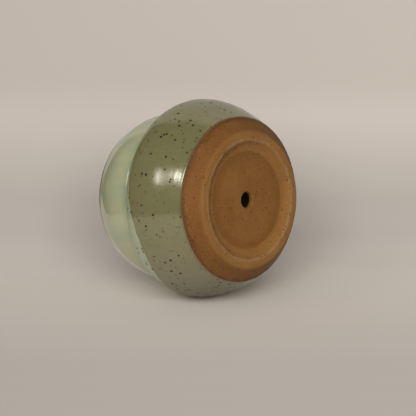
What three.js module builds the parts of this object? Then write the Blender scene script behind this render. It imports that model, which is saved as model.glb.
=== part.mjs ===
// A small stoneware planter with two bulges: a bowl on a trimmed foot and a narrower collar above it.
// Millimetres, +Z up, origin at the centre of the foot. Every piece is turned about the Z axis, so each
// one is drawn as half of its section: x is the radius, y is the height above the foot.
import * as THREE from "three";

// Foot and floor
const footRadius = 42; // outer edge of the flat ring that the pot stands on
const footEdge = 0.8; // round-over of the foot ring, outside and inside
const recessRadius = 36.1; // inner edge of the foot ring
const recessSlope = 6.2; // width of the sloping wall inside the ring
const recessDepth = 3.7; // turned-out hollow under the floor
const floorThickness = 3.4;
const floorFall = 0.8; // the inside of the floor falls this much towards the drain hole
const drainRadius = 5;
const drainEdge = 0.5; // softened edge of the drain hole

// Bowl, in clay without its glaze
const glazeLineRadius = 50.5; // top of the bare bevel, where the glaze starts
const glazeLineHeight = 8.2;
const bellyRadius = 61.9; // the widest place
const bellyHeight = 40.8;
const bowlWall = 6;
const neckRadius = 50.3; // bottom of the groove, where the collar is set on
const neckHeight = 54.2;

// Collar, measured up from the groove
const collarRadius = 53.3;
const collarBulgeRise = 12.2;
const collarRise = 34.2; // up to the top of the lip
const lipRadius = 47.4; // outside of the lip
const lipThickness = 4.4;
const collarWall = 5;

// Joint between the two thrown sections
const tongueThickness = 2.3; // raised inner edge of the bowl, which keys into the collar
const tongueRise = 3;
const slipThickness = 0.8;

// Glaze
const coatThickness = 0.6;
const bareEdge = 1.2; // a coat grows from nothing to its full thickness over this distance

// How round the curved stretches are: each handle's length as a share of the height that it spans
const bellyFullness = 0.36;
const bellyLean = 0.46; // outward lean of the wall where it leaves the glaze line
const shoulderFullness = 0.28;
const collarFullness = 0.4;
const insideFullness = 0.5;

const turns = 40; // facets round the pot

const point = (radius, height) => new THREE.Vector2(radius, height);

// The points along a curve from start to end whose two handles shape it, without its start
function bend(start, startHandle, endHandle, end, steps) {
  const curve = new THREE.CubicBezierCurve(start, startHandle, endHandle, end);
  return curve.getPoints(steps).slice(1);
}

// The points of a round lip from the outside over the top to the inside, without its first point
function overLip(outer, inner, steps) {
  const middle = outer.clone().add(inner).multiplyScalar(0.5);
  const radius = outer.distanceTo(inner) / 2;
  const points = [];
  for (let step = 1; step < steps; step += 1) {
    const angle = (Math.PI * step) / steps;
    points.push(point(middle.x + radius * Math.cos(angle), middle.y + radius * Math.sin(angle)));
  }
  return [...points, inner];
}

// The free face of a glaze coat on an outline. The outline runs with the clay on its left, and the coat
// feathers out to nothing at both of its ends.
function coatFace(outline) {
  return outline.map((here, i) => {
    const before = outline[i - 1];
    const after = outline[i + 1];
    if (!before || !after) {
      return here;
    }
    const into = here.clone().sub(before).normalize();
    const out = after.clone().sub(here).normalize();
    const along = into.add(out).normalize();
    return point(here.x + along.y * coatThickness, here.y - along.x * coatThickness);
  });
}

// A closed section turned about the Z axis
function turned(name, section, material) {
  const clockwise = THREE.ShapeUtils.isClockWise(section);
  const ring = clockwise ? [...section].reverse() : [...section];
  const geometry = new THREE.LatheGeometry([...ring, ring[0]], turns);
  geometry.rotateX(Math.PI / 2);
  const mesh = new THREE.Mesh(geometry, material);
  mesh.name = name;
  return mesh;
}

// The section of a coat between its outline and its free face. Points that the two share are kept once.
function coatSection(outline, face) {
  const free = face.filter((place, i) => place !== outline[i]);
  return [...outline, ...free.reverse()];
}

const stoneware = new THREE.MeshStandardMaterial({ color: 0x8c5a30, roughness: 0.85, metalness: 0 });
const slip = new THREE.MeshStandardMaterial({ color: 0x96693e, roughness: 0.9, metalness: 0 });
const oliveGlaze = new THREE.MeshStandardMaterial({ color: 0x77704a, roughness: 0.15, metalness: 0 });
const paleGlaze = new THREE.MeshStandardMaterial({ color: 0x93a182, roughness: 0.15, metalness: 0 });
const innerGlaze = new THREE.MeshStandardMaterial({ color: 0x5f5a3a, roughness: 0.18, metalness: 0 });

// Foot: the flat ring, its softened edges and the bare bevel up to the glaze line
const footOuter = [
  point(footRadius - footEdge, 0),
  point(footRadius, footEdge * 0.6),
];
const glazeLine = point(glazeLineRadius, glazeLineHeight);

// Outside of the bowl, in two stretches that the glaze coats share
const belly = point(bellyRadius, bellyHeight);
const bellySpan = bellyHeight - glazeLineHeight;
const bellyHandle = bellySpan * bellyFullness;
const bellyOutline = [
  glazeLine,
  point(glazeLineRadius + bellyLean * bareEdge, glazeLineHeight + bareEdge),
  ...bend(
    glazeLine,
    point(glazeLineRadius + bellyLean * bellyHandle, glazeLineHeight + bellyHandle),
    point(bellyRadius, bellyHeight - bellyHandle),
    belly,
    6,
  ),
];
const groove = point(neckRadius, neckHeight);
const shoulderSpan = neckHeight - bellyHeight;
const shoulderTurn = bellyRadius - neckRadius;
const shoulderOutline = [
  belly,
  ...bend(
    belly,
    point(bellyRadius, bellyHeight + shoulderSpan * shoulderFullness),
    point(neckRadius + shoulderTurn * 0.72, neckHeight - shoulderSpan * 0.32),
    groove,
    6,
  ),
];

// Seat of the collar: a level shelf, and the tongue inside it
const innerNeckRadius = neckRadius - collarWall;
const tongueRadius = innerNeckRadius + tongueThickness;
const tongueTop = neckHeight + tongueRise;
const seat = [
  point(tongueRadius, neckHeight),
  point(tongueRadius, tongueTop),
  point(innerNeckRadius, tongueTop),
];

// Inside of the bowl, from the tongue down to the drain hole
const floorHeight = recessDepth + floorThickness;
const innerBelly = point(bellyRadius - bowlWall, bellyHeight - 2);
const floorRim = point(recessRadius * 0.7, floorHeight + floorFall);
const innerSpan = innerBelly.y - floorRim.y;
const insideBowl = [
  point(innerNeckRadius, tongueTop),
  ...bend(
    point(innerNeckRadius, tongueTop),
    point(innerNeckRadius, neckHeight - bowlWall * 0.5),
    point(innerBelly.x, innerBelly.y + bowlWall * 1.3),
    innerBelly,
    5,
  ),
  ...bend(
    innerBelly,
    point(innerBelly.x, innerBelly.y - innerSpan * insideFullness),
    point(glazeLineRadius - bowlWall * 0.7, floorRim.y),
    floorRim,
    6,
  ),
  point(drainRadius + drainEdge + bareEdge, floorHeight),
  point(drainRadius + drainEdge, floorHeight),
];

// Drain hole and the recess under the floor
const drain = [
  point(drainRadius, floorHeight - drainEdge),
  point(drainRadius, recessDepth + drainEdge),
  point(drainRadius + drainEdge, recessDepth),
];
const recessEdge = point(recessRadius, footEdge * 0.6);
const recessFloorEdge = point(recessRadius - recessSlope, recessDepth);
const recess = [
  recessFloorEdge,
  ...bend(
    recessFloorEdge,
    point(recessRadius - recessSlope * 0.5, recessDepth),
    point(recessRadius - recessSlope * 0.2, recessDepth * 0.5),
    recessEdge,
    4,
  ),
  point(recessRadius + footEdge, 0),
];

const clayBowl = turned(
  "clay_bowl",
  [...footOuter, ...bellyOutline, ...shoulderOutline.slice(1), ...seat, ...insideBowl.slice(1), ...drain, ...recess],
  stoneware,
);

// Slip ring between the bowl's seat and the collar's foot
const slipTop = neckHeight + slipThickness;
const keyRadius = tongueRadius + slipThickness;
const keyTop = tongueTop + slipThickness;
const jointSlip = turned(
  "joint_slip",
  [
    groove,
    point(neckRadius, slipTop),
    point(keyRadius, slipTop),
    point(keyRadius, keyTop),
    point(innerNeckRadius, keyTop),
    ...[...seat].reverse(),
  ],
  slip,
);

// Collar: outside from the slip ring over the bulge to the lip, then the inside down to its foot
const bulge = point(collarRadius, neckHeight + collarBulgeRise);
const lipCentreHeight = neckHeight + collarRise - lipThickness / 2;
const lipOuter = point(lipRadius, lipCentreHeight);
const lipInner = point(lipRadius - lipThickness, lipCentreHeight);
const collarFoot = point(neckRadius, slipTop);
const upperSpan = lipCentreHeight - bulge.y;
const collarOutline = [
  collarFoot,
  ...bend(
    collarFoot,
    point(neckRadius + (collarRadius - neckRadius) * 0.6, slipTop + 1.5),
    point(collarRadius, bulge.y - collarBulgeRise * collarFullness),
    bulge,
    4,
  ),
  ...bend(
    bulge,
    point(collarRadius, bulge.y + upperSpan * collarFullness),
    point(lipRadius + (collarRadius - lipRadius) * 0.42, lipCentreHeight - upperSpan * 0.3),
    lipOuter,
    6,
  ),
];
const lipOutline = overLip(lipOuter, lipInner, 6);
const innerBulge = point(collarRadius - collarWall, bulge.y + 1.5);
const insideCollar = [
  ...bend(
    lipInner,
    point(lipInner.x + (innerBulge.x - lipInner.x) * 0.5, lipInner.y - upperSpan * 0.3),
    point(innerBulge.x, innerBulge.y + upperSpan * collarFullness),
    innerBulge,
    5,
  ),
  ...bend(
    innerBulge,
    point(innerBulge.x, innerBulge.y - collarBulgeRise * 0.3),
    point(innerNeckRadius + 0.6, keyTop + 3),
    point(innerNeckRadius, keyTop),
    3,
  ),
];
const clayCollar = turned(
  "clay_collar",
  [
    ...collarOutline,
    ...lipOutline,
    ...insideCollar,
    point(keyRadius, keyTop),
    point(keyRadius, slipTop),
  ],
  stoneware,
);

// Glaze coats. The pale coat starts on the belly coat, one step before that one feathers out.
const lapStep = 2;
const bellyCoatOutline = [...bellyOutline, ...shoulderOutline.slice(1, lapStep + 1)];
const bellyCoatFace = coatFace(bellyCoatOutline);
const bellyGlaze = turned("belly_glaze", coatSection(bellyCoatOutline, bellyCoatFace), oliveGlaze);

// The pale coat and the liner are one run of glaze that changes at the inner edge of the lip
const lapStart = bellyCoatFace[bellyCoatFace.length - 2];
const paleOutline = [lapStart, ...shoulderOutline.slice(lapStep), ...collarOutline, ...lipOutline];
const runOutline = [...paleOutline, ...insideCollar, ...insideBowl];
const runFace = coatFace(runOutline);
const change = paleOutline.length;
const paleSection = coatSection(paleOutline, runFace.slice(0, change));
const linerSection = coatSection(runOutline.slice(change - 1), runFace.slice(change - 1));
const collarGlaze = turned("collar_glaze", paleSection, paleGlaze);
const linerGlaze = turned("liner_glaze", linerSection, innerGlaze);

const planter = new THREE.Group();
planter.add(clayBowl, jointSlip, clayCollar, bellyGlaze, collarGlaze, linerGlaze);

export default planter;
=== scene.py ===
import math

import bmesh
import bpy
import numpy as np
from mathutils import Matrix, Vector


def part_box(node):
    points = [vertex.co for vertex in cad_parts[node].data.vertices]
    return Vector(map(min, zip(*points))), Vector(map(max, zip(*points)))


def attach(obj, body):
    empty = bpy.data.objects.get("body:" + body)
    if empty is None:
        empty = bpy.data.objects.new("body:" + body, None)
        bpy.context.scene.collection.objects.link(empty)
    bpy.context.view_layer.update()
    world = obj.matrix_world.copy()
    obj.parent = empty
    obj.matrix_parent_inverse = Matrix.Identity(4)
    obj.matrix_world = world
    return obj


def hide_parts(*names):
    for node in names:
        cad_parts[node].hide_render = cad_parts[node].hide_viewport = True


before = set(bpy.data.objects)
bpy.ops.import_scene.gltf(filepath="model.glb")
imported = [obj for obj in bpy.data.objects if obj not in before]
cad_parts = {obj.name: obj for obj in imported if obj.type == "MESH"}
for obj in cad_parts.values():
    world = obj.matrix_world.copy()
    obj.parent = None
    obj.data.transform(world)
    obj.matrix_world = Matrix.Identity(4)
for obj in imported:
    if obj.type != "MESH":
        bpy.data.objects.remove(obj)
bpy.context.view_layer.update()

scene = bpy.context.scene
scene.view_settings.view_transform = "Standard"
mm = 0.001
mergeDistance = 0.002 * mm
print("frame loaded:", len(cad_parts), "nodes")


# A value in a node tree, so that shader and geometry maths reads as Python
class Value:
    def __init__(self, tree, socket):
        self.tree = tree
        self.socket = socket

    def maths(self, operation, first, second=0.0):
        return addNode(self.tree, "ShaderNodeMath", {"operation": operation}, {0: first, 1: second})

    def __add__(self, other):
        return self.maths("ADD", self, other)

    def __radd__(self, other):
        return self.maths("ADD", other, self)

    def __sub__(self, other):
        return self.maths("SUBTRACT", self, other)

    def __rsub__(self, other):
        return self.maths("SUBTRACT", other, self)

    def __mul__(self, other):
        return self.maths("MULTIPLY", self, other)

    def __rmul__(self, other):
        return self.maths("MULTIPLY", other, self)

    def __truediv__(self, other):
        return self.maths("DIVIDE", self, other)

    def __mod__(self, other):
        return self.maths("MODULO", self, other)

    def __pow__(self, other):
        return self.maths("POWER", self, other)

    def floor(self):
        return self.maths("FLOOR", self)

    def sin(self):
        return self.maths("SINE", self)

    def cos(self):
        return self.maths("COSINE", self)

    def least(self, other):
        return self.maths("MINIMUM", self, other)

    def most(self, other):
        return self.maths("MAXIMUM", self, other)

    # 0 below low, 1 above high, and a smooth rise between them
    def rise(self, low, high):
        given = {"Value": self, "From Min": low, "From Max": high}
        return addNode(self.tree, "ShaderNodeMapRange", {"interpolation_type": "SMOOTHSTEP"}, given)


def addNode(tree, kind, settings, values, output=0):
    node = tree.nodes.new(kind)
    for name, setting in settings.items():
        setattr(node, name, setting)
    for key, value in values.items():
        if isinstance(value, Value):
            tree.links.new(value.socket, node.inputs[key])
        elif isinstance(value, tuple) and node.inputs[key].type == "RGBA":
            node.inputs[key].default_value = (*value[:3], 1)
        else:
            node.inputs[key].default_value = value
    return Value(tree, node.outputs[output])


def blendColour(share, colourA, colourB, tree):
    return addNode(tree, "ShaderNodeMix", {"data_type": "RGBA"}, {0: share, 6: colourA, 7: colourB}, 2)


# Camera first: it stands where the photograph was taken from, looking at the foot
view = {
    "pixels": 416,  # each way
    "sensor": 36.0,
    "lens": 102.4,
    "distance": 750.0,  # from the camera to the middle of the belly, along the view
    "bellyPixel": (203.3, 197.9),  # where the middle of the belly shows
    "bellyHeight": 41.9,  # of that middle above the foot
    "turn": 44.8,  # degrees between the pot's axis and the view
    "drop": 3.2,  # degrees that the foot end leans down in the picture
    "lookDown": 15.0,  # degrees that the camera looks down on the table
    "upSide": -45.0,  # which side of the upright pot is on top in the picture
}
turn, drop, lookDown = (math.radians(view[k]) for k in ("turn", "drop", "lookDown"))
# camera axes in this part: right, down, forward
toFoot = Vector((math.sin(turn) * math.cos(drop), math.sin(turn) * math.sin(drop), -math.cos(turn)))
upSeen = Vector((0, -math.cos(lookDown), -math.sin(lookDown)))
acrossUp = (upSeen - upSeen.dot(toFoot) * toFoot).normalized()
acrossSide = (-toFoot).cross(acrossUp)
seenAxes = Matrix((acrossUp, acrossSide, -toFoot)).transposed()
potToSeen = seenAxes @ Matrix.Rotation(-math.radians(view["upSide"]), 3, "Z")
seenToPot = potToSeen.transposed()
focal = view["lens"] / view["sensor"] * view["pixels"]
middle = view["pixels"] / 2
bellySeen = Vector((
    (view["bellyPixel"][0] - middle) / focal * view["distance"],
    (view["bellyPixel"][1] - middle) / focal * view["distance"],
    view["distance"],
))
footSeen = bellySeen + toFoot * view["bellyHeight"]
cameraPlace = seenToPot @ (-footSeen) * mm
right, down, forward = (seenToPot @ Vector(a) for a in ((1, 0, 0), (0, 1, 0), (0, 0, 1)))
cameraAxes = Matrix((right, -down, -forward)).transposed()
cameraData = bpy.data.cameras.new("camera")
cameraData.lens = view["lens"]
cameraData.sensor_width = view["sensor"]
camera = bpy.data.objects.new("camera", cameraData)
camera.matrix_world = Matrix.Translation(cameraPlace) @ cameraAxes.to_4x4()
scene.collection.objects.link(camera)
scene.camera = camera
upPot = (seenToPot @ upSeen).normalized()
sidePot = right.normalized()
backPot = upPot.cross(sidePot)  # away from the camera, along the table
print("camera stands", (cameraPlace / mm)[:])


# Sections: the outline of each turned node, read from the frame
def sectionOf(name):
    shell = bmesh.new()
    shell.from_mesh(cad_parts[name].data)
    bmesh.ops.remove_doubles(shell, verts=shell.verts, dist=mergeDistance)
    cut = {v for v in shell.verts if abs(v.co.y) < mergeDistance and v.co.x > 0}
    start = min(cut, key=lambda v: (round(v.co.z, 5), v.co.x))  # the lowest point, and the inner one of two
    walk, seen = [start], {start}
    while True:
        ahead = [e.other_vert(walk[-1]) for e in walk[-1].link_edges]
        ahead = [v for v in ahead if v in cut and v not in seen]
        if not ahead:
            break
        step = max(ahead, key=lambda v: v.co.x) if len(walk) == 1 else ahead[0]
        walk.append(step)
        seen.add(step)
    points = np.array([(v.co.x, v.co.z) for v in walk]) / mm
    shell.free()
    ahead = np.roll(points, -1, 0)
    if (points[:, 0] * ahead[:, 1] - ahead[:, 0] * points[:, 1]).sum() < 0:
        points = np.roll(points[::-1], 1, 0)
    return points


# A centripetal Catmull-Rom curve through the points, with steps of about the given length
def smoothRun(points, spacing):
    ends = [2 * points[0] - points[1], *points, 2 * points[-1] - points[-2]]
    run = [points[0]]
    for before, start, end, after in zip(ends, ends[1:], ends[2:], ends[3:]):
        knots = [0.0]
        for a, b in ((before, start), (start, end), (end, after)):
            knots.append(knots[-1] + math.sqrt(max(np.linalg.norm(b - a), 1e-9)))
        count = max(1, round(np.linalg.norm(end - start) / spacing))
        for t in np.linspace(knots[1], knots[2], count + 1)[1:]:
            a1 = ((knots[1] - t) * before + (t - knots[0]) * start) / (knots[1] - knots[0])
            a2 = ((knots[2] - t) * start + (t - knots[1]) * end) / (knots[2] - knots[1])
            a3 = ((knots[3] - t) * end + (t - knots[2]) * after) / (knots[3] - knots[2])
            b1 = ((knots[2] - t) * a1 + (t - knots[0]) * a2) / (knots[2] - knots[0])
            b2 = ((knots[3] - t) * a2 + (t - knots[1]) * a3) / (knots[3] - knots[1])
            run.append(((knots[2] - t) * b1 + (t - knots[1]) * b2) / (knots[2] - knots[1]))
    return np.array(run)


def soften(run, times):
    for _ in range(times):
        run[1:-1] = run[:-2] * 0.25 + run[1:-1] * 0.5 + run[2:] * 0.25
    return run


def lengthAlong(run):
    steps = np.linalg.norm(np.diff(run, axis=0), axis=1)
    return np.concatenate(([0.0], np.cumsum(steps)))


# Unit vectors out of the clay, for an outline that has the clay on its left
def outwardOf(run):
    along = np.gradient(run, axis=0)
    along /= np.linalg.norm(along, axis=1)[:, None]
    return np.stack((along[:, 1], -along[:, 0]), 1)


def nearest(points, place):
    return int(np.argmin(np.linalg.norm(points - np.array(place), axis=1)))


# The tree that turns a section into a piece
def buildTurnedTree():
    tree = bpy.data.node_groups.new("turnedPiece", "GeometryNodeTree")
    face = tree.interface
    face.new_socket("Section", in_out="INPUT", socket_type="NodeSocketGeometry")
    for name, kind, value in (
        ("Turns", "NodeSocketInt", 240),
        ("Coat", "NodeSocketFloat", 0.0),
        ("Bead", "NodeSocketFloat", 1 * mm),
        ("Roll", "NodeSocketFloat", 0.0),
        ("Lean", "NodeSocketFloat", 0.0),
        ("Wave", "NodeSocketFloat", 0.0),
        ("Wave Scale", "NodeSocketFloat", 2.0),
        ("Wobble", "NodeSocketFloat", 0.0),
        ("Wobble Scale", "NodeSocketFloat", 30.0),
        ("Seed", "NodeSocketFloat", 0.0),
    ):
        face.new_socket(name, in_out="INPUT", socket_type=kind).default_value = value
    face.new_socket("Finish", in_out="INPUT", socket_type="NodeSocketMaterial")
    face.new_socket("Piece", in_out="OUTPUT", socket_type="NodeSocketGeometry")
    given = tree.nodes.new("NodeGroupInput")
    wanted = {s.name: Value(tree, s) for s in given.outputs if s.name}

    def add(kind, settings, values, output=0):
        return addNode(tree, kind, settings, values, output)

    count = add("GeometryNodeAttributeDomainSize", {}, {"Geometry": wanted["Section"]}, "Point Count")
    columns = wanted["Turns"] + 1
    grid = add("GeometryNodeMeshGrid", {}, {"Vertices X": count + 1, "Vertices Y": columns}, "Mesh")
    index = add("GeometryNodeInputIndex", {}, {})
    row = ((index + 0.5) / columns).floor()
    column = index - row * columns
    place = row % count
    angle = column / wanted["Turns"] * math.tau

    def fromSection(name):
        stored = add("GeometryNodeInputNamedAttribute", {"data_type": "FLOAT"}, {"Name": name})
        values = {"Geometry": wanted["Section"], "Value": stored, "Index": place}
        return add("GeometryNodeSampleIndex", {"data_type": "FLOAT", "domain": "POINT"}, values)

    radius, height = fromSection("radius"), fromSection("height")
    outR, outZ = fromSection("outR"), fromSection("outZ")
    east, north = angle.cos(), angle.sin()
    ring = add("ShaderNodeCombineXYZ", {}, {"X": east, "Y": north, "Z": 0.0})
    noise = {"noise_dimensions": "4D"}
    wander = add(
        "ShaderNodeTexNoise", noise,
        {"Vector": ring, "W": wanted["Seed"], "Scale": wanted["Wave Scale"], "Detail": 3.0, "Roughness": 0.5},
    )
    wave = (wander - 0.5) * 2 * wanted["Wave"]
    intoCoat = fromSection("along") - wave
    share = (intoCoat / wanted["Bead"]).most(-1.0).least(1.0)
    grown = share * (2 - share.most(0.0))  # round up to full thickness, and dip under the clay before it
    fromEnd = (fromSection("toEnd") / wanted["Bead"]).most(0.0).least(1.0)
    bead = wanted["Bead"]
    roll = intoCoat.rise(0.0, bead * 0.6) * (1 - intoCoat.rise(bead * 0.7, bead * 1.4)) * wanted["Roll"]
    lean = (1 - intoCoat.rise(bead, bead * 5)) * wanted["Lean"]
    coat = grown.least(fromEnd * 1.05 - 0.05) * wanted["Coat"] * (1 + roll - lean)
    depth = fromSection("under") + coat * fromSection("free") - fromSection("sunk")
    spot = add("ShaderNodeCombineXYZ", {}, {"X": radius * east, "Y": radius * north, "Z": height})
    wobbleValues = {"Vector": spot, "W": wanted["Seed"], "Scale": wanted["Wobble Scale"], "Detail": 2.0}
    wobble = (add("ShaderNodeTexNoise", noise, wobbleValues) - 0.5) * wanted["Wobble"] * fromSection("loose")
    lift = depth + wobble
    shape = add(
        "ShaderNodeCombineXYZ", {},
        {"X": (radius + outR * lift) * east, "Y": (radius + outR * lift) * north, "Z": height + outZ * lift},
    )
    placed = add("GeometryNodeSetPosition", {}, {"Geometry": grid, "Position": shape})
    named = add(
        "GeometryNodeStoreNamedAttribute", {"data_type": "FLOAT", "domain": "POINT"},
        {"Geometry": placed, "Name": "glazeEdge", "Value": intoCoat},
    )
    closed = add("GeometryNodeMergeByDistance", {}, {"Geometry": named, "Distance": mergeDistance})
    smooth = add("GeometryNodeSetShadeSmooth", {}, {"Geometry": closed})
    real = add("GeometryNodeRealizeInstances", {}, {"Geometry": smooth})
    done = add("GeometryNodeSetMaterial", {}, {"Geometry": real, "Material": wanted["Finish"]})
    end = tree.nodes.new("NodeGroupOutput")
    tree.links.new(done.socket, end.inputs["Piece"])
    return tree


turnedTree = buildTurnedTree()


# The evaluated object as a plain mesh, with its modifiers gone and its faces pointing outwards
def settle(piece):
    bpy.context.view_layer.update()
    graph = bpy.context.evaluated_depsgraph_get()
    mesh = bpy.data.meshes.new_from_object(
        piece.evaluated_get(graph), preserve_all_data_layers=True, depsgraph=graph
    )
    piece.modifiers.clear()
    old = piece.data
    piece.data = mesh
    bpy.data.meshes.remove(old)
    mesh.name = piece.name
    solid = bmesh.new()
    solid.from_mesh(mesh)
    bmesh.ops.recalc_face_normals(solid, faces=solid.faces)
    if solid.calc_volume(signed=True) < 0:
        bmesh.ops.reverse_faces(solid, faces=solid.faces)
    solid.to_mesh(mesh)
    solid.free()
    print("  ", piece.name, len(mesh.polygons), "faces")
    return piece


def addInputs(piece, tree, settings):
    modifier = piece.modifiers.new(tree.name, "NODES")
    modifier.node_group = tree
    for item in tree.interface.items_tree:
        if item.item_type == "SOCKET" and item.in_out == "INPUT" and item.name in settings:
            modifier[item.identifier] = settings[item.name]
    return modifier


# rows holds a column for each name, with one entry for each point of the closed section. They are in
# millimetres, apart from the directions and the shares of 1.
def turnPiece(name, rows, settings):
    count = len(rows["radius"])
    mesh = bpy.data.meshes.new(name)
    points = [(r * mm, 0, z * mm) for r, z in zip(rows["radius"], rows["height"])]
    mesh.from_pydata(points, [], [])
    unscaled = ("outR", "outZ", "free", "loose")
    for key in ("radius", "height", "outR", "outZ", "along", "toEnd", "under", "sunk", "free", "loose"):
        column = np.broadcast_to(np.asarray(rows.get(key, 0.0), float), (count,))
        stored = mesh.attributes.new(key, "FLOAT", "POINT")
        stored.data.foreach_set("value", (column * (1 if key in unscaled else mm)).astype(np.float32))
    piece = bpy.data.objects.new(name, mesh)
    scene.collection.objects.link(piece)
    addInputs(piece, turnedTree, settings)
    return settle(piece)


def newFinish(name):
    finish = bpy.data.materials.new(name)
    finish.use_nodes = True
    finish.node_tree.nodes.clear()
    return finish, finish.node_tree


def closeFinish(tree, settings, linked):
    shader = tree.nodes.new("ShaderNodeBsdfPrincipled")
    for name, value in settings.items():
        shader.inputs[name].default_value = value
    for name, value in linked.items():
        tree.links.new(value.socket, shader.inputs[name])
    end = tree.nodes.new("ShaderNodeOutputMaterial")
    tree.links.new(shader.outputs[0], end.inputs["Surface"])


# Spots with the given spacing and largest radius, in millimetres. Not every cell holds one.
def spots(tree, place, spacing, radius, keep, soft, offset):
    moved = addNode(tree, "ShaderNodeVectorMath", {"operation": "ADD"}, {0: place, 1: offset})
    values = {"Vector": moved, "Scale": 1 / (spacing * mm), "Randomness": 1.0}
    kinds = {"voronoi_dimensions": "3D", "feature": "F1"}
    distance = addNode(tree, "ShaderNodeTexVoronoi", kinds, values, "Distance")
    colour = addNode(tree, "ShaderNodeTexVoronoi", kinds, values, "Color")
    chance = addNode(tree, "ShaderNodeSeparateColor", {}, {"Color": colour}, "Red")
    size = addNode(tree, "ShaderNodeSeparateColor", {}, {"Color": colour}, "Green")
    edge = (size * 0.65 + 0.35) * (radius / spacing)
    inside = 1 - (distance / edge).rise(1 - soft, 1 + soft)
    return inside * (1 - chance.rise(keep - 0.01, keep + 0.01))


def noiseOf(tree, place, size, detail=3.0, rough=0.5, seed=0.0):
    values = {"Vector": place, "W": seed, "Scale": 1 / (size * mm), "Detail": detail, "Roughness": rough}
    return addNode(tree, "ShaderNodeTexNoise", {"noise_dimensions": "4D"}, values)


def objectPlace(tree):
    return addNode(tree, "ShaderNodeTexCoord", {}, {}, "Object")


# The same place with its height shrunk, for patterns that run up the pot
def stretchedUp(tree, place):
    return addNode(tree, "ShaderNodeMapping", {}, {"Vector": place, "Scale": (1.0, 1.0, 0.35)})


def distanceFrom(tree, spot):
    given = {0: objectPlace(tree), 1: tuple(spot)}
    return addNode(tree, "ShaderNodeVectorMath", {"operation": "DISTANCE"}, given, "Value")


def dotOf(tree, vector, direction):
    given = {0: vector, 1: tuple(direction)}
    return addNode(tree, "ShaderNodeVectorMath", {"operation": "DOT_PRODUCT"}, given, "Value")


def bumpOf(tree, height, distance, strength=1.0):
    return addNode(
        tree, "ShaderNodeBump", {}, {"Strength": strength, "Distance": distance * mm, "Height": height}
    )


stoneware = {
    "clay": (0.238, 0.107, 0.022),
    "toasted": (0.106, 0.035, 0.006),
    "pale": (0.300, 0.150, 0.048),
    "worn": (0.310, 0.200, 0.105),
    "deep": (0.158, 0.064, 0.011),
    "sand": (0.430, 0.235, 0.075),
    "iron": (0.040, 0.018, 0.009),
    "rough": 0.74,
    "haloWidth": 7.0,  # how far the toasting reaches from the glaze line
    "ringSpacing": 1.35,  # from one trimming ring to the next
}


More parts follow.
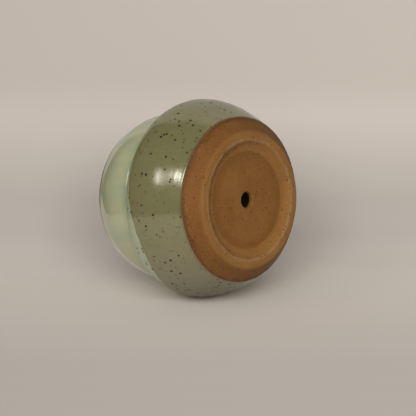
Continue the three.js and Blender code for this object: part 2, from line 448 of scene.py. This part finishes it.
def makeStoneware():
    look = stoneware
    finish, tree = newFinish("stoneware")
    place = objectPlace(tree)
    split = {"Vector": place}
    x, y, z = (addNode(tree, "ShaderNodeSeparateXYZ", {}, split, axis) for axis in ("X", "Y", "Z"))
    radius = (x * x + y * y) ** 0.5 * 1000
    height = z * 1000
    edge = addNode(tree, "ShaderNodeAttribute", {"attribute_name": "glazeEdge"}, {}, "Fac") * 1000
    cloud = noiseOf(tree, place, 16, 4, 0.55, 1.0)
    patch = noiseOf(tree, place, 4.5, 4, 0.6, 1.5)
    grain = noiseOf(tree, place, 0.9, 4, 0.75, 4.0)
    share = cloud.rise(0.25, 0.75) * 0.6 + grain.rise(0.3, 0.7) * 0.4
    colour = blendColour(share, look["deep"], look["clay"], tree)
    # toasted towards the glaze line, in patches
    halo = 1 - (edge * -1 + (cloud - 0.5) * 8 + (patch - 0.5) * 6).rise(0.0, look["haloWidth"])
    bevel = radius.rise(footRadius - 0.5, footRadius + 2.5)
    colour = blendColour((bevel * 0.5).most(halo * 0.85), colour, look["toasted"], tree)
    burn = (1 - (edge * -1).rise(0.2, 2.8)) * patch.rise(0.35, 0.6)
    colour = blendColour(burn * 0.45, colour, look["iron"], tree)
    # trimming rings; a darker band at the edge of the recess floor, a turned ring that also paints the shade
    # in the recess corner; and a paler sandy wall round it, partly painted light on the wall
    wander = noiseOf(tree, place, 7, 2, 0.5, 2.0)
    rings = (radius * (math.tau / look["ringSpacing"]) + wander * 6).sin()
    recess = 1 - radius.rise(recessInner - 1.5, recessInner + 0.5)
    ringShare = recess * 0.6 + 0.25
    colour = blendColour((rings * 0.5 + 0.5) * ringShare * 0.22, colour, look["deep"], tree)
    under = 1 - height.rise(recessTop + 0.2, recessTop + 0.8)
    loose = radius + (wander - 0.5) * 3
    # painted shade, with a darker ring: the band where the recess floor meets its wall
    turned = loose.rise(recessInner - 8.0, recessInner - 1.5)
    turned = turned * (1 - radius.rise(recessInner - 0.4, recessInner + 0.6))
    colour = blendColour(turned * under * 0.6, colour, look["deep"], tree)
    # paler wall of the recess: partly sand, partly painted light on the wall
    slope = radius.rise(recessInner - 0.1, recessInner + 0.9)
    slope = slope * (1 - radius.rise(recessEdge - 0.6, recessEdge + 0.8))
    colour = blendColour(slope * under * patch.rise(0.2, 0.6) * 0.25, colour, look["pale"], tree)
    # worn where the pot stands
    lip = radius.rise(recessEdge - 1.6, recessEdge - 0.4)
    lip = lip * (1 - radius.rise(recessEdge + 0.2, recessEdge + 1.8))
    foot = 1 - height.rise(0.8, 2.4)
    scuff = noiseOf(tree, place, 2.2, 4, 0.6, 3.0).rise(0.35, 0.6)
    ring = radius.rise(recessEdge, recessEdge + 1.5) * (1 - radius.rise(footRadius - 1.0, footRadius + 2.5))
    colour = blendColour(ring * 0.25, colour, look["pale"], tree)
    colour = blendColour(lip * foot * scuff * 0.48, colour, look["worn"], tree)
    sand = spots(tree, place, 1.5, 0.32, 0.7, 0.4, (0.01, 0.02, 0.03))
    fineSand = spots(tree, place, 0.9, 0.2, 0.85, 0.5, (0.04, 0.01, 0.02))
    colour = blendColour(sand.most(fineSand) * 0.42, colour, look["sand"], tree)
    fineIron = spots(tree, place, 1.6, 0.42, 0.7, 0.3, (0.02, 0.02, 0.06)) * (halo * 0.8 + 0.3)
    iron = spots(tree, place, 3.2, 0.58, 0.75, 0.3, (0.03, 0.05, 0.01))
    colour = blendColour((iron * 0.8).most(fineIron * 0.85), colour, look["iron"], tree)
    relief = grain * 0.6 + rings * ringShare * 0.35 + sand * 0.8 - iron * 0.4
    rough = look["rough"] + (grain - 0.5) * 0.12
    closeFinish(
        tree, {"IOR": 1.38},
        {"Base Color": colour, "Roughness": rough, "Normal": bumpOf(tree, relief, 0.14)},
    )
    return finish


olive = {
    "thick": (0.136, 0.130, 0.053),
    "thin": (0.160, 0.130, 0.058),
    "green": (0.150, 0.166, 0.086),
    "edge": (0.105, 0.062, 0.022),
    "lap": (0.300, 0.345, 0.220),
    "speck": (0.022, 0.013, 0.004),
    "rough": 0.135,
    "lapHeight": 44.8,  # of the lapped glaze, which runs down on one side
    "runDepth": 7.4,
    "runSide": -156.0,  # degrees
}


# 1 on the side where the lapped glaze runs down, falling to 0 round the pot
def lapRun(x, y):
    side = math.radians(olive["runSide"])
    toRun = (x * math.cos(side) + y * math.sin(side)) / (x * x + y * y) ** 0.5
    return (toRun * 0.5 + 0.5) ** 12.0


def makeOlive():
    look = olive
    finish, tree = newFinish("oliveGlaze")
    place = objectPlace(tree)
    edge = addNode(tree, "ShaderNodeAttribute", {"attribute_name": "glazeEdge"}, {}, "Fac") * 1000
    split = {"Vector": place}
    x, y, z = (addNode(tree, "ShaderNodeSeparateXYZ", {}, split, axis) for axis in ("X", "Y", "Z"))
    cloud = noiseOf(tree, place, 22, 3, 0.5, 5.0)
    mottle = noiseOf(tree, place, 3.5, 4, 0.6, 6.0)
    colour = blendColour(cloud.rise(0.3, 0.7), look["thin"], look["thick"], tree)
    colour = blendColour(mottle.rise(0.35, 0.75) * 0.4, colour, look["green"], tree)
    # brown where the glaze breaks over its own edge
    thin = 1 - (edge + (mottle - 0.5) * 1.6).rise(0.1, 1.9)
    colour = blendColour(thin * 0.75, colour, look["edge"], tree)
    # the pale glaze of the collar over this one
    run = lapRun(x, y)
    lap = (z * 1000 + run * look["runDepth"] + (mottle - 0.5) * 2 - look["lapHeight"]).rise(-0.3, 0.5)
    colour = blendColour(lap * 0.85, colour, look["lap"], tree)
    fine = spots(tree, place, 1.9, 0.24, 0.7, 0.5, (0.02, 0.03, 0.05))
    colour = blendColour(fine * 0.4, colour, look["edge"], tree)
    bleed = spots(tree, place, 3.7, 1.15, 0.8, 0.7, (0.01, 0.06, 0.02))
    colour = blendColour(bleed * 0.35, colour, look["edge"], tree)
    small = spots(tree, place, 2.6, 0.46, 0.75, 0.35, (0.05, 0.01, 0.04))
    big = spots(tree, place, 3.7, 0.8, 0.8, 0.25, (0.01, 0.06, 0.02))
    specks = (small * 0.85).most(big)
    colour = blendColour(specks, colour, look["speck"], tree)
    peel = noiseOf(tree, place, 4, 2, 0.5, 7.0)
    turned = noiseOf(tree, stretchedUp(tree, place), 2.2, 2, 0.5, 7.5)
    relief = peel + turned * 0.6 - big * 0.25
    rough = look["rough"] + specks * 0.45 + (mottle - 0.5) * 0.05
    closeFinish(
        tree, {"IOR": 1.95},
        {
            "Base Color": colour, "Roughness": rough, "Metallic": specks * 0.9,
            "Normal": bumpOf(tree, relief, 0.05),
        },
    )
    return finish


celadon = {
    "pale": (0.355, 0.350, 0.210),
    "deep": (0.305, 0.330, 0.205),
    "teal": (0.200, 0.270, 0.190),
    "over": (0.140, 0.150, 0.075),
    "break": (0.150, 0.108, 0.055),
    "speck": (0.060, 0.040, 0.020),
    "rough": 0.12,
}


def makeCeladon():
    look = celadon
    finish, tree = newFinish("celadonGlaze")
    place = objectPlace(tree)
    split = {"Vector": place}
    x, y, z = (addNode(tree, "ShaderNodeSeparateXYZ", {}, split, axis) for axis in ("X", "Y", "Z"))
    height = z * 1000
    edge = addNode(tree, "ShaderNodeAttribute", {"attribute_name": "glazeEdge"}, {}, "Fac") * 1000
    streak = noiseOf(tree, stretchedUp(tree, place), 9, 3, 0.5, 8.0)
    colour = blendColour(streak.rise(0.35, 0.65), look["pale"], look["deep"], tree)
    pool = (1 - (height - grooveHeight).rise(0.5, 6.0)) * (height - grooveHeight).rise(-4.0, -0.5)
    colour = blendColour(pool * streak.rise(0.3, 0.6) * 0.75, colour, look["teal"], tree)
    # the olive glaze shows through where this one starts on it
    over = (1 - edge.rise(1.0, 4.5)) * (1 - lapRun(x, y) * 0.8)
    colour = blendColour(over * 0.85, colour, look["over"], tree)
    # brown where it breaks over the lip
    thin = (height + (streak - 0.5) * 3).rise(potHeight - 4.8, potHeight - 2.6)
    colour = blendColour(thin * 0.7, colour, look["break"], tree)
    small = spots(tree, place, 6.5, 0.4, 0.5, 0.45, (0.03, 0.02, 0.06))
    colour = blendColour(small * 0.6, colour, look["speck"], tree)
    peel = noiseOf(tree, place, 5, 2, 0.5, 9.0)
    closeFinish(
        tree, {"IOR": 1.95, "Roughness": look["rough"]},
        {"Base Color": colour, "Normal": bumpOf(tree, peel, 0.05)},
    )
    return finish


liner = {
    "colour": (0.115, 0.100, 0.042),
    "thin": (0.085, 0.062, 0.026),
    "speck": (0.010, 0.008, 0.005),
    "rough": 0.18,
}


def makeLiner():
    look = liner
    finish, tree = newFinish("linerGlaze")
    place = objectPlace(tree)
    cloud = noiseOf(tree, stretchedUp(tree, place), 12, 4, 0.55, 10.0)
    colour = blendColour(cloud.rise(0.3, 0.7), look["thin"], look["colour"], tree)
    specks = spots(tree, place, 4.3, 0.7, 0.7, 0.25, (0.02, 0.03, 0.01))
    colour = blendColour(specks, colour, look["speck"], tree)
    peel = noiseOf(tree, place, 5, 2, 0.5, 11.0)
    rough = look["rough"] + specks * 0.4
    closeFinish(
        tree, {"IOR": 1.8},
        {"Base Color": colour, "Roughness": rough, "Normal": bumpOf(tree, peel, 0.05)},
    )
    return finish


# Outlines of the two clay sections, and the places on them that the coats start from
tolerance = 0.01  # millimetres, for points that lie at one height or radius
bowl = sectionOf("clay_bowl")
collar = sectionOf("clay_collar")
bellyCoat = sectionOf("belly_glaze")
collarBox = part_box("collar_glaze")
potHeight = collarBox[1].z / mm
glazeLine = bellyCoat[0]
glazeIndex = nearest(bowl, glazeLine)
bellyRadius = bellyCoat[:, 0].max()
coatThickness = bellyRadius - bowl[:, 0].max()
seatCorner = int(np.argmax(bowl[:, 1] > bowl[:, 1].max() - tolerance))  # outer top corner of the tongue
grooveIndex = seatCorner - 2
groove = bowl[grooveIndex]
grooveHeight = groove[1]
lowest = bowl[:, 1] < tolerance
recessEdge = bowl[lowest, 0].min()
drainRadius = bowl[:, 0].min()
footRadius = bowl[lowest, 0].max()
recessTop = bowl[(bowl[:, 0] < recessEdge) & (bowl[:, 1] < glazeLine[1] / 2), 1].max()
recessFloor = bowl[np.abs(bowl[:, 1] - recessTop) < tolerance]
recessInner = recessFloor[:, 0].max()
print("glaze line", glazeLine.round(1), "groove", groove.round(1), "recess", recessInner.round(1))

clayFinish = makeStoneware()
oliveFinish = makeOlive()
celadonFinish = makeCeladon()
linerFinish = makeLiner()


clay = {
    "turns": 240,
    "collarTurns": 160,
    "fine": 0.55,  # length of a step where the clay shows
    "coarse": 1.6,  # and where it doesn't
    "bore": 0.5,  # and in the drain hole
    "wobble": 0.16,  # how far out of true the bare clay is
    "wobbleScale": 60.0,
    "wobbleFade": 2.0,  # it fades out this near to the foot's plane and the glaze line
    "wave": 0.8,  # how far the glaze line wanders
    "waveScale": 1.6,
}
glaze = {
    "turns": 256,
    "linerTurns": 200,
    "fine": 0.5,  # length of a step on the outside
    "coarse": 0.9,  # and on the inside
    "bead": 1.3,  # width of the rounded edge of a coat
    "roll": 0.16,  # how much thicker the edge of the belly coat is
    "lean": 0.25,  # how much thinner it is behind that
    "sunk": 0.25,  # depth of a coat's back face in the clay
    "backStep": 3,  # that face takes one of so many points
    "before": (2.4, 2.2),  # the belly coat starts this far inwards and down from the glaze line
    "edgeSeed": 3.0,
    "lapBelow": 1.0,  # the collar's coat starts this far below the end of the belly coat
    "lapBefore": 6,  # with this many more points before that, under the belly coat
    "lapWave": 1.6,  # how far the edge of the collar's coat wanders
    "lapWaveScale": 2.4,
    "lapBead": 2.2,
    "lapSeed": 11.0,
    "lipDrop": 2.0,  # from the top of the lip to the change between collar coat and liner
}
covered = 50.0  # stands for a place well inside a coat
bare = -60.0  # and for one far from any coat
noEnd = 99.0  # and for a coat that goes on


# A closed coat: a free face over a run of the clay's outline, and a back face sunk in the clay
def coatRows(run, along, toEnd, under):
    step = -glaze["backStep"]
    out = outwardOf(run)
    back = run[::step]
    backOut = out[::step]
    free = np.concatenate((np.ones(len(run)), np.zeros(len(back))))
    return {
        "radius": np.concatenate((run[:, 0], back[:, 0])),
        "height": np.concatenate((run[:, 1], back[:, 1])),
        "outR": np.concatenate((out[:, 0], backOut[:, 0])),
        "outZ": np.concatenate((out[:, 1], backOut[:, 1])),
        "along": np.concatenate((along, along[::step])),
        "toEnd": np.concatenate((toEnd, toEnd[::step])),
        "under": np.concatenate((under, np.zeros(len(back)))),
        "sunk": np.where(free > 0, 0.0, glaze["sunk"]),
        "free": free,
        "loose": free,
    }


# clay bowl: fine steps where the clay is bare, wider ones under the glaze and inside
bareRun = soften(smoothRun(bowl[: glazeIndex + 1], clay["fine"]), 2)
bareRun[:, 1] = bareRun[:, 1].clip(0)
coveredRun = smoothRun(bowl[glazeIndex : grooveIndex + 1], clay["coarse"])
seatRun = bowl[grooveIndex + 1 : seatCorner + 1]
insideStart = seatCorner + 1
drainPoints = np.flatnonzero(bowl[:, 0] < drainRadius + tolerance)
drainHigh, drainLow = int(drainPoints.min()), int(drainPoints.max())
insideRun = smoothRun(bowl[insideStart : drainHigh], clay["coarse"])
boreRun = smoothRun(bowl[drainHigh - 1 : drainLow + 2], clay["bore"])[1:]
underRun = soften(smoothRun(np.vstack((bowl[drainLow + 1 :], bowl[:1])), clay["fine"]), 2)[1:-1]
underRun[:, 1] = underRun[:, 1].clip(0)
bowlRun = np.vstack((bareRun, coveredRun[1:], seatRun, insideRun, boreRun, underRun))
reach = lengthAlong(bareRun)
bowlAlong = np.concatenate((
    reach - reach[-1], lengthAlong(coveredRun)[1:], np.full(len(seatRun) + len(insideRun), covered),
    np.full(len(boreRun) + len(underRun), bare),
))
bowlLoose = np.concatenate((
    np.ones(len(bareRun)), np.zeros(len(coveredRun) - 1 + len(seatRun) + len(insideRun)),
    np.zeros(len(boreRun)), np.ones(len(underRun)),
))
wobbleFade = clay["wobbleFade"]
bowlLoose[: len(bareRun)] *= (bareRun[:, 1] / wobbleFade).clip(0, 1)
bowlLoose[: len(bareRun)] *= ((reach[-1] - reach) / wobbleFade).clip(0, 1)
bowlLoose[-len(underRun) :] *= (underRun[:, 1] / wobbleFade).clip(0, 1)
loopOut = outwardOf(np.vstack((bowlRun[-1:], bowlRun, bowlRun[:1])))[1:-1]
bowlRows = {
    "radius": bowlRun[:, 0], "height": bowlRun[:, 1], "outR": loopOut[:, 0], "outZ": loopOut[:, 1],
    "along": bowlAlong, "toEnd": noEnd, "loose": bowlLoose,
}
edgeInputs = {
    "Wave": clay["wave"] * mm, "Wave Scale": clay["waveScale"], "Seed": glaze["edgeSeed"],
    "Wobble": clay["wobble"] * mm, "Wobble Scale": clay["wobbleScale"],
}
print("turning the clay")
bowlClay = turnPiece("bowlClay", bowlRows, {**edgeInputs, "Turns": clay["turns"], "Finish": clayFinish})

# clay collar, all of it under glaze
collarRun = smoothRun(np.vstack((collar, collar[:1])), clay["coarse"])[:-1]
collarOut = outwardOf(np.vstack((collarRun[-1:], collarRun, collarRun[:1])))[1:-1]
collarRows = {
    "radius": collarRun[:, 0], "height": collarRun[:, 1], "outR": collarOut[:, 0], "outZ": collarOut[:, 1],
    "along": covered, "toEnd": noEnd, "loose": 0.0,
}
collarClay = turnPiece("collarClay", collarRows, {"Turns": clay["collarTurns"], "Finish": clayFinish})

# outside of the clay from the bare bevel to just inside the lip, as one run for two coats
footHeight = collar[:, 1].min()
footIndex = int(np.argmax(np.where(collar[:, 1] < footHeight + tolerance, collar[:, 0], 0)))
collar = np.roll(collar, -footIndex, 0)
topIndex = int(np.argmax(collar[:, 1]))
lipTop = collar[topIndex]
lipInner = topIndex + int(np.argmax(collar[topIndex:, 1] < lipTop[1] - glaze["lipDrop"]))
outside = np.vstack((bowl[glazeIndex - 1 : grooveIndex + 1], collar[: lipInner + 1]))
outsideRun = soften(smoothRun(outside, glaze["fine"]), 2)
lineStart = nearest(outsideRun, glazeLine)
fromLine = lengthAlong(outsideRun) - lengthAlong(outsideRun)[lineStart]
bellyTop = bellyCoat[int(np.argmax(bellyCoat[:, 1]))]  # where the belly coat ends
lapStop = nearest(outsideRun, bellyTop)
lapStart = nearest(outsideRun, (bellyRadius - coatThickness, bellyTop[1] - glaze["lapBelow"]))
fade = ((fromLine[lapStop] - fromLine) / glaze["bead"]).clip(0, 1)
bellyUnder = coatThickness * fade * (2 - fade)

print("turning the glaze coats")
first = nearest(outsideRun, glazeLine - np.array(glaze["before"]))
stretch = slice(first, lapStop + 1)
bellyRows = coatRows(
    outsideRun[stretch], fromLine[stretch], fromLine[lapStop] - fromLine[stretch],
    np.zeros(lapStop + 1 - first),
)
coatInputs = {"Turns": glaze["turns"], "Coat": coatThickness * mm, "Bead": glaze["bead"] * mm}
bellyInputs = {"Roll": glaze["roll"], "Lean": glaze["lean"], "Wobble": 0.0, "Finish": oliveFinish}
bellyGlaze = turnPiece("bellyGlaze", bellyRows, {**edgeInputs, **coatInputs, **bellyInputs})

stretch = slice(lapStart - glaze["lapBefore"], len(outsideRun))
fromLap = fromLine[stretch] - fromLine[lapStart]
paleRows = coatRows(outsideRun[stretch], fromLap, np.full(len(fromLap), noEnd), bellyUnder[stretch])
lapInputs = {
    "Wave": glaze["lapWave"] * mm, "Wave Scale": glaze["lapWaveScale"], "Seed": glaze["lapSeed"],
    "Bead": glaze["lapBead"] * mm,
}
collarGlaze = turnPiece("collarGlaze", paleRows, {**coatInputs, **lapInputs, "Finish": celadonFinish})

inside = np.vstack((collar[lipInner:-2], bowl[insideStart : drainHigh]))
liningRun = soften(smoothRun(inside, glaze["coarse"]), 1)
fromDrain = lengthAlong(liningRun)[-1] - lengthAlong(liningRun)
flatLining = np.zeros(len(liningRun))
liningRows = coatRows(liningRun, flatLining + covered, fromDrain, flatLining)
linerInputs = {**coatInputs, "Turns": glaze["linerTurns"], "Finish": linerFinish}
linerGlaze = turnPiece("linerGlaze", liningRows, linerInputs)

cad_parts["joint_slip"].data.materials.clear()
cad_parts["joint_slip"].data.materials.append(clayFinish)

for piece, node, slot in (
    (bowlClay, "clay_bowl", "stoneware"), (collarClay, "clay_collar", "stoneware"),
    (bellyGlaze, "belly_glaze", "olive_glaze"), (collarGlaze, "collar_glaze", "pale_glaze"),
    (linerGlaze, "liner_glaze", "liner"),
):
    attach(piece, "root")
    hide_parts(node)


# Stage: the pale sweep that the pot lies on in the picture, and a floor for the upright pot
stage = {
    "colour": (0.62, 0.562, 0.506),
    "floorTone": 1.3,  # of the floor for the upright pot
    "floorReach": 2.0,
    "floorGap": 0.0003,  # from the foot down to the floor
    "wall": 0.17,  # metres from the pot to the upright part behind it
    "curve": 0.11,
    "seenReach": {"front": 2.0, "height": 0.5, "side": 1.5},  # of the sweep in the picture
    "fineFrom": -0.5,  # the flat part has short steps from here to the curve
    "steps": 32,  # along that stretch, and again round the curve
    # reach of the paper that the glaze mirrors
    "height": 0.75,
    "front": 0.75,
    "right": 0.60,
    # and to the left, by the distance along the table
    "leftEdge": ((-0.70, 0.355), (-0.30, 0.335), (-0.13, 0.290), (0.01, 0.222), (0.11, 0.170)),
    "contactShadowTone": 0.1,  # painted contact shadow where the pot rests, as a share of the tone round it
    "contact": 0.016,  # how far the darkest shade reaches round the place where the pot rests
    "contactShift": 0.009,  # that place is this much to the left of the lowest corner
    "shine": (0.53, 0.495, 0.43),  # painted glow of the paper that the glaze mirrors, standing in for its light
    "shineFades": (0.45, 0.78),  # it darkens between these heights
    "shineShade": (0.0, 0.06),  # and, as a painted shadow, this near to the point under the pot
    # painted light and shade of the sweep, by its distance back plus its height: brightest where it starts to
    # curve, with painted shade in the bend behind that
    "tones": (
        (-0.20, 0.71), (-0.12, 0.80), (0.0, 1.06), (0.055, 1.17), (0.11, 0.88), (0.16, 0.77),
        (0.20, 0.80), (0.25, 0.89), (0.34, 0.75),
    ),
    "lean": 0.37,  # painted light: how much paler it gets in a metre to the right
}


# Paper that shows on its front only
def closePaper(finish, tree, face):
    clear = addNode(tree, "ShaderNodeBsdfTransparent", {}, {})
    hidden = addNode(tree, "ShaderNodeNewGeometry", {}, {}, "Backfacing")
    both = addNode(tree, "ShaderNodeMixShader", {}, {0: hidden, 1: face, 2: clear})
    end = tree.nodes.new("ShaderNodeOutputMaterial")
    tree.links.new(both.socket, end.inputs["Surface"])
    return finish


# Matt paper with painted light and shade: toned along the sweep, with a painted contact shadow where the pot
# rests on it
def makeSeenPaper(name):
    finish, tree = newFinish(name)
    tone = addNode(tree, "ShaderNodeAttribute", {"attribute_name": "tone"}, {}, "Fac")
    # painted shadow round the place where the pot rests
    shaded = distanceFrom(tree, restingPlace).rise(0.0, stage["contact"])
    tone = tone * (shaded * (1 - stage["contactShadowTone"]) + stage["contactShadowTone"])
    given = {0: stage["colour"], "Scale": tone}
    toned = addNode(tree, "ShaderNodeVectorMath", {"operation": "SCALE"}, given)
    return closePaper(finish, tree, addNode(tree, "ShaderNodeBsdfDiffuse", {}, {"Color": toned}))


# The paper as the glaze mirrors it: a sheet that glows with painted light, dark up high, and with a painted
# shadow near the point under the pot
def makeMirroredPaper():
    finish, tree = newFinish("mirroredPaper")
    height = dotOf(tree, objectPlace(tree), upPot) - tableLevel
    fade = height.rise(*stage["shineFades"])
    fade = fade.most(1 - distanceFrom(tree, underPot).rise(*stage["shineShade"]))
    colour = blendColour(fade, stage["shine"], (0.0, 0.0, 0.0), tree)
    return closePaper(finish, tree, addNode(tree, "ShaderNodeEmission", {}, {"Color": colour}))


# A sheet through the points, reaching to the left and right of each by the lengths given for it
def addSheet(name, points, lefts, reachRight, finish):
    corners, faces = [], []
    for p, reachLeft in zip(points, lefts):
        corners += [p - sidePot * reachLeft, p + sidePot * reachRight]
    for i in range(len(points) - 1):
        faces.append((2 * i, 2 * i + 1, 2 * i + 3, 2 * i + 2))
    mesh = bpy.data.meshes.new(name)
    mesh.from_pydata([tuple(c) for c in corners], [], faces)
    mesh.polygons.foreach_set("use_smooth", [True] * len(faces))
    mesh.materials.append(finish)
    along = [(p - underPot).dot(backPot) + (p - underPot).dot(upPot) for p in points]
    places, tones = zip(*stage["tones"])
    toned = mesh.attributes.new("tone", "FLOAT", "POINT")
    reaches = [reach for left in lefts for reach in (-left, reachRight)]
    row = np.repeat(np.interp(along, places, tones), 2) * (1 + stage["lean"] * np.array(reaches))
    toned.data.foreach_set("value", row.astype(np.float32))
    sheet = bpy.data.objects.new(name, mesh)
    scene.collection.objects.link(sheet)
    sheet.visible_diffuse = False  # it throws neither light nor shade on the pot
    sheet.visible_shadow = False
    return sheet


def sweepPoints(front, height):
    steps = stage["steps"]
    coarse = np.linspace(-front, stage["fineFrom"], 4)[:-1]
    fine = np.linspace(stage["fineFrom"], stage["wall"] - stage["curve"], steps)
    points = [underPot + backPot * along for along in (*coarse, *fine)]
    for step in range(1, steps + 1):
        angle = math.radians(90) * step / steps
        back = stage["wall"] - stage["curve"] * (1 - math.sin(angle))
        points.append(underPot + backPot * back + upPot * stage["curve"] * (1 - math.cos(angle)))
    return [*points, underPot + backPot * stage["wall"] + upPot * height]


print("laying the paper")
touching = min((v.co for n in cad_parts.values() for v in n.data.vertices), key=upPot.dot).copy()
restingPlace = touching - sidePot * stage["contactShift"]
tableLevel = touching.dot(upPot)
potMiddle = Vector((0, 0, view["bellyHeight"] * mm))
underPot = potMiddle + upPot * (tableLevel - potMiddle.dot(upPot))
seenReach = stage["seenReach"]
tablePoints = sweepPoints(seenReach["front"], seenReach["height"])
tableLefts = [seenReach["side"]] * len(tablePoints)
table = addSheet("table", tablePoints, tableLefts, seenReach["side"], makeSeenPaper("seenPaper"))
table.visible_glossy = False
mirrorPoints = sweepPoints(stage["front"], stage["height"])
edgePlaces, edgeReaches = zip(*stage["leftEdge"])
alongTable = [(p - underPot).dot(backPot) for p in mirrorPoints]
mirrorLefts = np.interp(alongTable, edgePlaces, edgeReaches)
mirrored = addSheet("mirroredTable", mirrorPoints, mirrorLefts, stage["right"], makeMirroredPaper())
mirrored.visible_camera = False


# A flat rectangle round the origin of its mesh, at the given height
def addRectangle(name, wide, tall, height):
    mesh = bpy.data.meshes.new(name)
    corners = [(x * wide / 2, y * tall / 2, height) for x, y in ((-1, -1), (1, -1), (1, 1), (-1, 1))]
    mesh.from_pydata(corners, [], [(0, 1, 2, 3)])
    return mesh


floorSide = 2 * stage["floorReach"]
floorMesh = addRectangle("floor", floorSide, floorSide, -stage["floorGap"])
floorMesh.attributes.new("tone", "FLOAT", "POINT").data.foreach_set("value", [stage["floorTone"]] * 4)
floorMesh.materials.append(makeSeenPaper("floorPaper"))
floor = bpy.data.objects.new("floor", floorMesh)
scene.collection.objects.link(floor)
floor.visible_diffuse = False
floor.visible_shadow = False
floor.visible_glossy = False

# Light. Directions are to the camera's right, up from the table, and away from the camera.
# Each lamp stands 1 m from the pot. Its glow is how bright it looks from there.
lights = {
    "front": {"aim": (0.0, 0.50, -0.866), "size": (0.90, 0.50), "glow": 6.6},
    "left": {"aim": (-0.663, 0.50, -0.556), "size": (0.65, 0.65), "glow": 1.42},
}
ambient = {
    "soft": (0.27, 0.258, 0.247),
    "bounce": (0.55, 0.490, 0.430),  # from below, where the lit paper lies
    "turnsAt": (-0.25, 0.05),  # sine of the angles above the table where one gives way to the other
    "seen": (0.50, 0.445, 0.395),  # by the camera, where the paper ends
    "mirrored": (0.025, 0.024, 0.022),  # by the glaze, where there is neither paper nor window
}


def fromStage(vector):
    side, up, back = vector
    return sidePot * side + upPot * up + backPot * back


# A turn and place for something flat, 1 m from the pot and facing it
def facingPot(aim, tall):
    toward = fromStage(aim).normalized()
    across = fromStage(tall).cross(toward).normalized()
    axes = Matrix((across, toward.cross(across), toward)).transposed()
    return Matrix.Translation(potMiddle + toward) @ axes.to_4x4()


print("placing lamps and windows")
for name, light in lights.items():
    data = bpy.data.lights.new(name, "AREA")
    data.shape = "RECTANGLE"
    data.size, data.size_y = light["size"]
    data.energy = light["glow"] * math.pi * data.size * data.size_y
    lamp = bpy.data.objects.new(name, data)
    scene.collection.objects.link(lamp)
    lamp.matrix_world = facingPot(light["aim"], (0.0, 1.0, 0.0))
    lamp.visible_camera = False
    lamp.visible_glossy = False

# The lit windows that the glaze mirrors, bright in the middle. Nothing else sees them.
windows = {
    "left": {
        "aim": (-0.652, 0.51, -0.56), "tall": (0.055, 0.325, 0.221), "size": (0.165, 0.43), "glow": 6.2,
    },
    "middle": {
        "aim": (-0.527, 0.574, -0.627), "tall": (0.09, 0.313, 0.193), "size": (0.10, 0.40), "glow": 14.0,
    },
    "right": {
        "aim": (-0.25, 0.60, -0.76), "tall": (0.0, 0.78, 0.62), "size": (0.32, 0.60), "glow": 20.0,
    },
}
windowColour = (1.0, 0.95, 0.84)
windowMiddle = 0.1  # share of a window that is fully lit
for name, window in windows.items():
    finish, tree = newFinish(name + "Window")
    wide, tall = window["size"]
    given = {0: objectPlace(tree), 1: (2 / wide, 2 / tall, 0.0)}
    sized = addNode(tree, "ShaderNodeVectorMath", {"operation": "MULTIPLY"}, given)
    out = addNode(tree, "ShaderNodeVectorMath", {"operation": "LENGTH"}, {0: sized}, "Value")
    colour = blendColour(out.rise(windowMiddle, 1.0), windowColour, (0.0, 0.0, 0.0), tree)
    lit = addNode(tree, "ShaderNodeEmission", {}, {"Color": colour, "Strength": window["glow"]})
    tree.links.new(lit.socket, tree.nodes.new("ShaderNodeOutputMaterial").inputs["Surface"])
    mesh = addRectangle(name + "Window", wide, tall, 0.0)
    mesh.materials.append(finish)
    card = bpy.data.objects.new(name + "Window", mesh)
    card.matrix_world = facingPot(window["aim"], window["tall"])
    scene.collection.objects.link(card)
    card.visible_camera = False
    card.visible_diffuse = False
    card.visible_shadow = False

world = bpy.data.worlds.new("room")
world.use_nodes = True
scene.world = world
air = world.node_tree
air.nodes.clear()
isCamera = addNode(air, "ShaderNodeLightPath", {}, {}, "Is Camera Ray")
isGlossy = addNode(air, "ShaderNodeLightPath", {}, {}, "Is Glossy Ray")
toward = addNode(air, "ShaderNodeTexCoord", {}, {}, "Generated")
level = dotOf(air, toward, upPot)
shade = blendColour(level.rise(*ambient["turnsAt"]), ambient["bounce"], ambient["soft"], air)
shade = blendColour(isGlossy, shade, ambient["mirrored"], air)
shade = blendColour(isCamera, shade, ambient["seen"], air)
glow = addNode(air, "ShaderNodeBackground", {}, {"Color": shade, "Strength": 1.0})
air.links.new(glow.socket, air.nodes.new("ShaderNodeOutputWorld").inputs["Surface"])

print("scene built")
